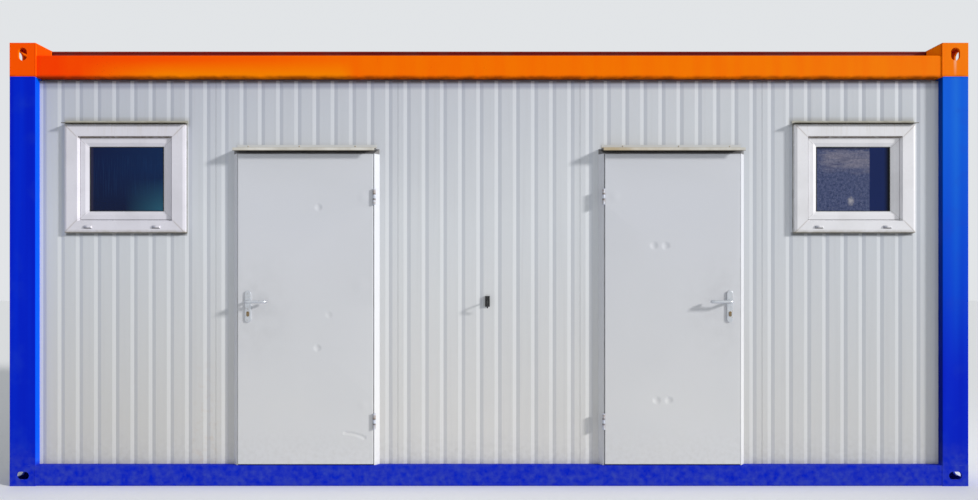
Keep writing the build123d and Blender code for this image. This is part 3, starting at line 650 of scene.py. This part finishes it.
# %% Floor covering
paint = Finish("floor_covering", roughness=0.55)
where = place_on_object(paint.tree)[0]
chips = add_node(paint.tree, "TexVoronoi", {"Vector": where, "Scale": 260.0}).outputs
tone = value_of(paint.tree, "SeparateColor", {0: chips["Color"]}).fade(0.2, 0.9)
paint.colour = blend(tone, (112, 116, 120), (146, 148, 150))
scuffs = paint.use(patches, scale=3.0, low=0.45)
paint.lay(scuffs, (120, 112, 102), 0.4)
paint.done(scuffs.fade(0.0, 1.0, 0.45, 0.7), chips["Distance"], bump=0.0001)
paint.coat("floor_board")

# %% Ceiling boards
paint = Finish("ceiling_board", roughness=0.6)
paint.colour = blend(paint.use(patches, scale=1.5, low=0.35), (226, 226, 222), (214, 213, 208))
paint.done(height=paint.use(paint_grain, fine=180.0))
paint.coat("ceiling")

# %% [markdown]
# ## Finishes of the small pieces
# Rubber, zinc, brass and sealant are seen as lines and dots a few millimetres wide. Each still gets its own
# tone, gloss and dirt, because a dot of flat colour looks pasted on when the camera comes close.

# %% Rubber, sealant and bare metals
def small_finish(name, roughness, clean, dirty, scale, metallic=0.0):
    """A two-tone finish with dirt in patches, rougher where it is dirty."""
    paint = Finish(name, roughness, metallic=metallic)
    dirt = paint.use(patches, scale=scale, low=0.4, high=0.7)
    paint.colour = blend(dirt, clean, dirty)
    paint.done(dirt.fade(0.0, 1.0, roughness, 0.8), paint.use(paint_grain, fine=600.0, broad=40.0))
    print(name, "is mixed")
    return paint.material


gasket_rubber = small_finish("gasket_rubber", 0.55, (20, 24, 26), (52, 58, 50), 30.0)
pale_seal = small_finish("pale_seal", 0.6, (196, 198, 202), (158, 158, 156), 12.0)
sealant = small_finish("sealant", 0.6, (146, 144, 136), (84, 80, 66), 14.0)
zinc = small_finish("zinc", 0.4, (186, 188, 190), (120, 98, 78), 150.0, metallic=0.8)
brass = small_finish("brass", 0.35, (164, 140, 100), (104, 84, 58), 160.0, metallic=0.8)
tan_rivet = small_finish("tan_rivet", 0.55, (190, 182, 168), (164, 148, 126), 90.0)

# %% [markdown]
# ## Modelling helpers
# Operators act on what is selected in edit mode. Here a test picks the faces, by where they are and which
# way they face. A finished piece has its place written into its mesh, and it rides on the body that carries
# it, so that it follows a door when that opens.

# %% Picking and shaping
def deselect_all():
    if bpy.context.object and bpy.context.object.mode != "OBJECT":
        bpy.ops.object.mode_set(mode="OBJECT")
    bpy.ops.object.select_all(action="DESELECT")


def take_in_hand(piece):
    """Makes a piece the only selected and active one, which is what the operators act on."""
    deselect_all()
    piece.select_set(True)
    bpy.context.view_layer.objects.active = piece


def write_place():
    """Writes the place, turn and scale of what is selected into its mesh."""
    bpy.ops.object.transform_apply(location=True, rotation=True, scale=True)


def start_with(add, name, scale=(1, 1, 1), **placing):
    """Adds a primitive with its own operator, names it, scales it and writes its place into its mesh."""
    deselect_all()
    add(**placing)
    piece = bpy.context.object
    piece.name = piece.data.name = name
    piece.scale = scale
    write_place()
    return piece


def pick(piece, kind, wanted):
    """Selects the faces, edges or points of the piece whose place and direction pass a test, in edit mode."""
    bpy.ops.object.mode_set(mode="EDIT")
    bpy.ops.mesh.select_mode(type=kind)
    bpy.ops.mesh.select_all(action="DESELECT")
    bpy.ops.object.mode_set(mode="OBJECT")
    points = piece.data.vertices
    if kind == "FACE":
        for face in piece.data.polygons:
            face.select = wanted(face.center, face.normal)
    elif kind == "EDGE":
        for edge in piece.data.edges:
            start, end = (points[index].co for index in edge.vertices)
            edge.select = wanted((start + end) / 2, end - start)
    else:
        for point in points:
            point.select = wanted(point.co, point.normal)
    bpy.ops.object.mode_set(mode="EDIT")


def modify(piece, kind, **settings):
    """Adds a modifier, sets it and applies it."""
    take_in_hand(piece)
    added = piece.modifiers.new(kind.lower(), kind)
    for name, value in settings.items():
        setattr(added, name, value)
    bpy.ops.object.modifier_apply(modifier=added.name)


def cut_out(piece, tool):
    """Takes the shape of a tool out of a piece, and the tool out of the scene."""
    modify(piece, "BOOLEAN", object=tool, operation="DIFFERENCE", solver="EXACT")
    bpy.data.objects.remove(tool)


print("helpers ready")


# %% Copying and finishing
def repeat(pattern, name, places):
    """Copies a small piece to each place, each copy with its own mesh, and joins the copies."""
    deselect_all()
    for place in places:
        twin = put_in_scene(name, pattern.data.copy())
        twin.location = place
        twin.select_set(True)
        bpy.context.view_layer.objects.active = twin
    write_place()
    if len(places) > 1:
        bpy.ops.object.join()
    joined = bpy.context.object
    joined.name = joined.data.name = name
    return joined


def turned(pattern, angle):
    """The same small piece turned about the upright axis, so that it faces another way."""
    twin = put_in_scene(pattern.name + "_turned", pattern.data.copy())
    twin.rotation_euler = (0, 0, math.radians(angle))
    take_in_hand(twin)
    write_place()
    return twin


def finish_piece(piece, material, body, angle=30):
    """Shades a piece, paints it and fixes it to the body that it moves with."""
    take_in_hand(piece)
    bpy.ops.object.shade_smooth_by_angle(angle=math.radians(angle))
    piece.data.materials.clear()
    piece.data.materials.append(material)
    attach(piece, body)
    print(piece.name, "of", len(piece.data.polygons), "faces on", body)


def clear_away(*patterns):
    for pattern in patterns:
        bpy.data.objects.remove(pattern)


print("helpers ready")

# %% [markdown]
# ## Dented door sheets
# Feet and trolleys have pushed small dents into both doors. A dent could be faked with bump, but its edge
# would stay straight in a raking view, so the sheet itself is bent. The model's leaf is copied and its
# triangles are merged into whole faces. Cuts fence off a small square round each dent, the square is divided
# finely, and its middle is pushed in with proportional editing, which takes the points around it along, less
# and less with distance. Beside the hinges the sheet bulges out by a millimetre, where the door was once
# forced, so there the push has a minus sign.

# %% Copy of a leaf
def leaf_copy(side):
    sheet = put_in_scene(f"door_{side}_sheet", nodes[f"door_{side}_leaf"].data.copy())
    sheet.data.name = sheet.name
    take_in_hand(sheet)
    if sheet.data.has_custom_normals:
        bpy.ops.mesh.customdata_custom_splitnormals_clear()
    bpy.ops.object.mode_set(mode="EDIT")
    bpy.ops.mesh.select_all(action="SELECT")
    bpy.ops.mesh.remove_doubles(threshold=0.00005)
    bpy.ops.mesh.select_all(action="SELECT")
    bpy.ops.mesh.dissolve_limited(angle_limit=math.radians(0.5))
    bpy.ops.object.mode_set(mode="OBJECT")
    return sheet


def fine_field(sheet, x_span, z_span, cuts):
    """Fences off a rectangle on the front of the sheet and divides it into small faces."""

    def front(place, direction):
        return direction.y < -0.9

    def in_row(place, direction):
        return front(place, direction) and z_span[0] < place.z < z_span[1]

    def in_field(place, direction):
        return in_row(place, direction) and x_span[0] < place.x < x_span[1]

    for z in z_span:
        pick(sheet, "FACE", front)
        bpy.ops.mesh.bisect(plane_co=(0, 0, z), plane_no=(0, 0, 1))
    for x in x_span:
        pick(sheet, "FACE", in_row)
        bpy.ops.mesh.bisect(plane_co=(x, 0, 0), plane_no=(1, 0, 0))
    pick(sheet, "FACE", in_field)
    bpy.ops.mesh.subdivide(number_cuts=cuts)


def push_in(sheet, near_centre, depth, reach):
    """Pushes the points that pass the test inwards, and their neighbours within reach less and less."""
    pick(sheet, "VERT", lambda place, direction: abs(place.y - leaf_front) < 0.0002 and near_centre(place))
    falloff = {"proportional_edit_falloff": "SMOOTH", "proportional_size": reach}
    bpy.ops.transform.translate(value=(0, depth, 0), use_proportional_edit=True, **falloff)


leaf_low, leaf_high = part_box("door_left_leaf")
leaf_front, leaf_back = leaf_low[1], leaf_high[1]
print("front of the leaves at", round(leaf_front, 4))

# %% Dents
# For each field: its span in X and in Z, its cuts, and its dents with their X, Z, depth and reach.
dented_fields = {
    "left": [
        ((-1.108, -1.048), (1.731, 1.791), 17, [(-1.078, 1.761, 0.0035, 0.026)]),
        ((-1.114, -1.054), (0.842, 0.902), 17, [(-1.084, 0.872, 0.0035, 0.026)]),
        ((-1.044, -0.980), (1.049, 1.113), 17, [(-1.012, 1.081, 0.002, 0.028)]),
        ((-0.846, -0.744), (1.773, 1.885), 17, [(-0.795, 1.829, -0.0014, 0.046)]),
        ((-0.846, -0.744), (0.453, 0.565), 17, [(-0.795, 0.509, -0.001, 0.046)]),
        ((-0.882, -0.744), (1.17, 1.35), 17, [(-0.812, 1.27, -0.0014, 0.065)]),
    ],
    "right": [
        ((1.008, 1.152), (1.485, 1.553), 35, [(1.043, 1.520, 0.004, 0.029), (1.117, 1.518, 0.004, 0.029)]),
        ((1.024, 1.172), (0.508, 0.576), 35, [(1.060, 0.542, 0.004, 0.029), (1.136, 0.542, 0.004, 0.029)]),
        ((0.744, 0.846), (1.773, 1.885), 17, [(0.795, 1.829, -0.0016, 0.046)]),
    ],
}
dent_tip = 0.0035
sheets = {}
for side, fields in dented_fields.items():
    sheet = leaf_copy(side)
    for x_span, z_span, cuts, dents in fields:
        fine_field(sheet, x_span, z_span, cuts)
        for x, z, depth, reach in dents:
            push_in(sheet, lambda place: math.hypot(place.x - x, place.z - z) < dent_tip, depth, reach)
    sheets[side] = sheet
    print(sheet.name, len(sheet.data.vertices), "points")

# %% [markdown]
# Low on the left door a boot or a barrow left a curved crease. It is pushed in along a slightly bowed line.

# %% Crease
crease_start = Vector((-0.911, 0.335))
crease_end = Vector((-0.784, 0.304))
crease_bow = 0.008
crease_width = 0.003
crease_depth = 0.003
crease_reach = 0.014


def on_crease(place):
    point = Vector((place.x, place.z))
    run = crease_end - crease_start
    along = (point - crease_start).dot(run) / run.length_squared
    if not 0 <= along <= 1:
        return False
    line = crease_start + run * along + Vector((0, crease_bow * 4 * along * (1 - along)))
    return (point - line).length < crease_width


take_in_hand(sheets["left"])
fine_field(sheets["left"], (-0.945, -0.748), (0.262, 0.378), 39)
push_in(sheets["left"], on_crease, crease_depth, crease_reach)
for side, sheet in sheets.items():
    finish_piece(sheet, door_paint, f"door_{side}", angle=25)
    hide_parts(f"door_{side}_leaf")
pressed = [1000 * (point.co.y - leaf_front) for point in sheets["left"].data.vertices]
print("depths on the left sheet, mm:", sorted({round(depth, 1) for depth in pressed if 0.3 < depth < 8}))

# %% [markdown]
# ## Rings: gaskets, sealant and door seals
# A black gasket holds each pane, a bead of sealant closes each window frame to the wall, and a pale lip
# seals each door to its frame. All are narrow bands with a flat back and square corners. So each starts as a
# plane that is inset, loses its middle, is extruded to its thickness and has its edges rounded.

# %% Ring helper
facing_front = (math.radians(90), 0, 0)


def ring(name, centre, size, band, push, rotation=facing_front, open_below=False, edge=0.0008):
    """A band inside an outline of the given size, pushed out from its plane to its thickness."""
    add = bpy.ops.mesh.primitive_plane_add
    piece = start_with(add, name, (size[0], size[1], 1), size=1, location=centre, rotation=rotation)
    pick(piece, "FACE", lambda place, direction: True)
    bpy.ops.mesh.inset(thickness=band)
    bpy.ops.mesh.delete(type="FACE")
    if open_below:
        pick(piece, "FACE", lambda place, direction: place.z < centre[2] - size[1] / 2 + band)
        bpy.ops.mesh.delete(type="FACE")
    bpy.ops.mesh.select_all(action="SELECT")
    bpy.ops.mesh.extrude_region_move(TRANSFORM_OT_translate={"value": push})
    bpy.ops.mesh.select_all(action="SELECT")
    bpy.ops.mesh.normals_make_consistent(inside=False)
    modify(piece, "BEVEL", width=edge, segments=2, limit_method="ANGLE")
    return piece


# %% Gaskets and sealant
wall_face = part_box("front_middle_panel")[0][1]
pane_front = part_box("window_glass")[0][1]
visible_pane = (0.471, 0.411)
bead_lap = 0.007
for side, x in window_middles.items():
    centre = (x, pane_front, window_height_middle)
    gasket = ring(
        f"window_{side}_gasket", centre, visible_pane, band=0.004, push=(0, -0.002, 0), edge=0.0006
    )
    finish_piece(gasket, gasket_rubber, "container")
    low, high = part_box(f"window_{side}_frame")
    outline = (high[0] - low[0] + bead_lap, high[2] - low[2] + bead_lap)
    centre = (x, wall_face, window_height_middle)
    bead = ring(f"window_{side}_sealant", centre, outline, band=0.004, push=(0, -0.003, 0))
    finish_piece(bead, sealant, "container")

# %% Door seals
sides = {"left": -1, "right": 1}
leaf_gap = 0.005
seal_thickness, seal_depth, seal_setback = 0.0028, 0.0045, 0.0015
casing_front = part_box("door_left_frame")[0][1]
for side in sides:
    low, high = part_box(f"door_{side}_leaf")
    hole_top = high[2] + leaf_gap
    hole = (high[0] - low[0] + 2 * leaf_gap, hole_top - low[2])
    middle = ((low[0] + high[0]) / 2, casing_front + seal_setback, (low[2] + hole_top) / 2)
    seal = ring(f"door_{side}_seal", middle, hole, seal_thickness, (0, seal_depth, 0), open_below=True)
    finish_piece(seal, pale_seal, "container")

# %% [markdown]
# ## Rivets and screws
# Pale tan rivets hold the door caps, and small screws hold the lock's plates and the hook's block. A rivet
# is half a ball, flattened. A screw is a short cylinder with a rounded rim, into which a cross is cut with
# two bars.

# %% Rivets of the door caps
ball = {"segments": 14, "ring_count": 8, "radius": 0.0045}
rivet = start_with(bpy.ops.mesh.primitive_uv_sphere_add, "rivet_pattern", (1, 0.45, 1), **ball)
bpy.ops.object.mode_set(mode="EDIT")
bpy.ops.mesh.select_all(action="SELECT")
bpy.ops.mesh.bisect(plane_co=(0, 0, 0), plane_no=(0, 1, 0), clear_outer=True, use_fill=True)
flange_thickness, rivet_below_top = 0.002, 0.009
flange_face = wall_face - flange_thickness
rivet_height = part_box("door_caps")[1][2] - rivet_below_top
rivet_row = (0.852, 1.208, 1.533)
places = [(sign * x, flange_face, rivet_height) for sign in sides.values() for x in rivet_row]
finish_piece(repeat(rivet, "door_cap_rivets", places), tan_rivet, "container", angle=60)
clear_away(rivet)


# %% Screw pattern
def disc(name, y, **size):
    """A short cylinder that faces the front."""
    add = bpy.ops.mesh.primitive_cylinder_add
    return start_with(add, name, location=(0, y, 0), rotation=facing_front, **size)


def block(name, size, place, rotation=(0, 0, 0)):
    """A box of a given size round a place."""
    add = bpy.ops.mesh.primitive_cube_add
    return start_with(add, name, size, size=1, location=place, rotation=rotation)


def screw(radius, height):
    """A pan head with a cross in it, standing on the plane Y = 0 and facing the front."""
    head = disc("screw_pattern", y=-height / 2, vertices=16, radius=radius, depth=height)
    pick(head, "EDGE", lambda place, direction: place.y < -0.99 * height)
    bpy.ops.mesh.bevel(offset=0.45 * height, segments=3)
    for turn in (0, math.radians(90)):
        bar_size = (0.24 * radius, 1.1 * height, 1.15 * radius)
        cut_out(head, block("cross_bar", bar_size, (0, -height, 0), (0, turn, 0)))
    return head


front_screw = screw(radius=0.0042, height=0.0018)
print("screw of", len(front_screw.data.polygons), "faces")

# %% Screws of the hook block and the inner lock plates
spindle_x = 1.5205
block_x, block_height, block_thickness = -0.010, 1.166, 0.013
block_front = wall_face - block_thickness
plate_height, plate_thickness = 1.135, 0.008
plate_face = leaf_back + plate_thickness
places = [(block_x, block_front, block_height + step) for step in (-0.026, 0.026)]
finish_piece(repeat(front_screw, "hook_screws", places), black_steel, "container", angle=40)
back_screw = turned(front_screw, 180)
for side, sign in sides.items():
    places = [(sign * spindle_x, plate_face, plate_height + step) for step in (-0.088, 0.088)]
    screws = repeat(back_screw, f"door_{side}_plate_screws", places)
    finish_piece(screws, zinc, f"door_{side}", angle=40)

# %% [markdown]
# ## Lock: key cylinders, latch, bolt and keeps
# The lock's cylinder ends in a round brass plug with a slot for the key. In the edge of each leaf show the
# latch and the bolt, drawn back flush, between two screws. The frame has a pressed keep round each of the
# two holes that they enter.

# %% Key plugs
plug = disc("plug_pattern", y=-0.0003, vertices=24, radius=0.0066, depth=0.0016)
pick(plug, "EDGE", lambda place, direction: place.y < -0.001)
bpy.ops.mesh.bevel(offset=0.0004, segments=2)
cut_out(plug, block("key_slot", size=(0.0015, 0.002, 0.0085), place=(0, -0.0011, -0.0005)))
back_plug = turned(plug, 180)
plug_height = lock_height + 0.008
cylinder_depth = 0.012
ends = (("outer", plug, leaf_front - cylinder_depth), ("inner", back_plug, leaf_back + cylinder_depth))
for side, sign in sides.items():
    for end, pattern, y in ends:
        piece = repeat(pattern, f"door_{side}_key_plug_{end}", [(sign * spindle_x, y, plug_height)])
        finish_piece(piece, brass, f"door_{side}", angle=40)

# %% Latch, bolt and forend screws
tongue = block("tongue_pattern", size=(0.011, 0.0008, 0.028), place=(0, 0.0001, 0))
pick(tongue, "EDGE", lambda place, direction: place.y < 0)
bpy.ops.mesh.bevel(offset=0.00025, segments=2)
flush_screw = screw(radius=0.0036, height=0.0005)
lever_height = 1.166
leaf_edge_x = 1.5865
leaf_middle = (leaf_front + leaf_back) / 2
forend_middle = (lever_height + lock_height) / 2
heights = {"latch_and_bolt": (lever_height, lock_height),
           "forend_screws": (forend_middle - 0.103, forend_middle + 0.103)}
for side, sign in sides.items():
    for label, pattern in (("latch_and_bolt", tongue), ("forend_screws", flush_screw)):
        twin = turned(pattern, 90 * sign)
        places = [(sign * leaf_edge_x, leaf_middle, z) for z in heights[label]]
        piece = repeat(twin, f"door_{side}_{label}", places)
        finish_piece(piece, zinc, f"door_{side}", angle=40)
        clear_away(twin)

# %% Keeps in the frames
keep_hole = (0.014, 0.034)
keep_band = 0.005
keep_outline = [length + 2 * keep_band for length in keep_hole]
for side, sign in sides.items():
    facing_leaf = (math.radians(90), 0, math.radians(-90 * sign))
    for label, height in (("latch", lever_height), ("bolt", lock_height)):
        name = f"door_{side}_{label}_keep"
        centre = (sign * (leaf_edge_x + leaf_gap), leaf_middle, height)
        push = (-sign * 0.0012, 0, 0)
        keep = ring(name, centre, keep_outline, keep_band, push, facing_leaf, edge=0.0003)
        finish_piece(keep, zinc, "container")
clear_away(front_screw, back_screw, flush_screw, plug, back_plug, tongue)

# %% [markdown]
# ## Weld beads
# Posts, rails and corner fittings are welded together, and the bead stands a little proud of the front. It
# ripples, because the welder moves on in small steps. A slim cylinder is divided along its length, and every
# other ring of it is swollen. It lies half in the steel, so only the rippled crown shows.

# %% Weld pattern
weld_radius = 0.003
weld_step = 0.0035


def weld_bead(name, length, rotation=(0, 0, 0)):
    add = bpy.ops.mesh.primitive_cylinder_add
    bead = start_with(add, name, vertices=8, radius=weld_radius, depth=length)
    rings = 2 * round(length / weld_step / 2) - 1
    pitch = length / (rings + 1)
    pick(bead, "EDGE", lambda place, direction: abs(direction.z) > 0.9 * length)
    bpy.ops.mesh.subdivide(number_cuts=rings)
    pick(bead, "VERT", lambda place, direction: round((place.z + length / 2) / pitch) % 2 == 1)
    bpy.ops.transform.resize(value=(1.3, 1.3, 1), center_override=(0, 0, 0))
    bpy.ops.object.mode_set(mode="OBJECT")
    bead.rotation_euler = rotation
    write_place()
    return bead


# %% Welds of the front
post_width = 0.166
top_weld_length = 0.156
free_ends = 0.008
post_low, post_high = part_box("posts_front")


def add_welds(name, bead, x, height, node):
    """Lays a bead on each side of the front, half sunk in the steel, in the paint of a node."""
    places = [(sign * x, post_low[1] + weld_radius / 2, height) for sign in sides.values()]
    welds = repeat(bead, name, places)
    finish_piece(welds, nodes[node].active_material, "container", angle=50)
    clear_away(bead)


for rail, slot in (("base_rail", "blue_paint"), ("roof_rail", "orange_paint")):
    low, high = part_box(f"{rail}_front")
    bead = weld_bead(f"{rail}_bead_pattern", high[2] - low[2] - free_ends)
    add_welds(f"{rail}_welds", bead, post_high[0] - post_width, (low[2] + high[2]) / 2, f"{rail}_front")
bead = weld_bead("post_bead_pattern", top_weld_length, rotation=(0, math.radians(90), 0))
add_welds("post_top_welds", bead, post_high[0] - post_width / 2, post_high[2], "posts_front")

# %% [markdown]
# ## Light
# The light is plain and soft: an even pale surround, and one broad lamp from the upper right, as low sun
# came in the photograph, so that the lining of the walls shows. The surround is seen by the camera and in
# reflections as a pale backdrop, but lights the cabin at half strength, so that lamp and surround together
# show each colour as it is mixed.

# %% Studio light
world = bpy.data.worlds.new("studio")
bpy.context.scene.world = world
world.use_nodes = True
tree = world.node_tree
tree.nodes.clear()
rays = add_node(tree, "LightPath").outputs
seen = maths("MAXIMUM", Value(rays["Is Camera Ray"]), rays["Is Transmission Ray"])
seen = maths("MAXIMUM", seen, rays["Is Glossy Ray"])
lighting = value_of(tree, "Background", {"Color": (0.93, 0.965, 1.0, 1.0), "Strength": 0.45})
backdrop = value_of(tree, "Background", {"Color": (0.76, 0.78, 0.8, 1.0), "Strength": 1.0})
mixed = value_of(tree, "MixShader", {0: seen, 1: lighting, 2: backdrop})
add_node(tree, "OutputWorld", {0: mixed})

lamp_data = bpy.data.lights.new("key_lamp", "SUN")
lamp_data.energy = 3.0
lamp_data.angle = math.radians(6)
lamp_data.color = (1.0, 0.985, 0.96)
lamp = put_in_scene("key_lamp", lamp_data)
lamp.rotation_euler = Vector((-0.87, 0.36, -0.34)).to_track_quat("-Z", "Y").to_euler()
print("lamp", lamp_data.energy, "surround nodes", len(tree.nodes))

# %% Studio floor
floor = start_with(bpy.ops.mesh.primitive_plane_add, "studio_floor", size=60)
paint = Finish("studio_floor", roughness=0.9, specular=0.1)
paint.colour = (0.92, 0.93, 0.94, 1.0)
paint.done()
floor.data.materials.append(paint.material)
print("floor laid")
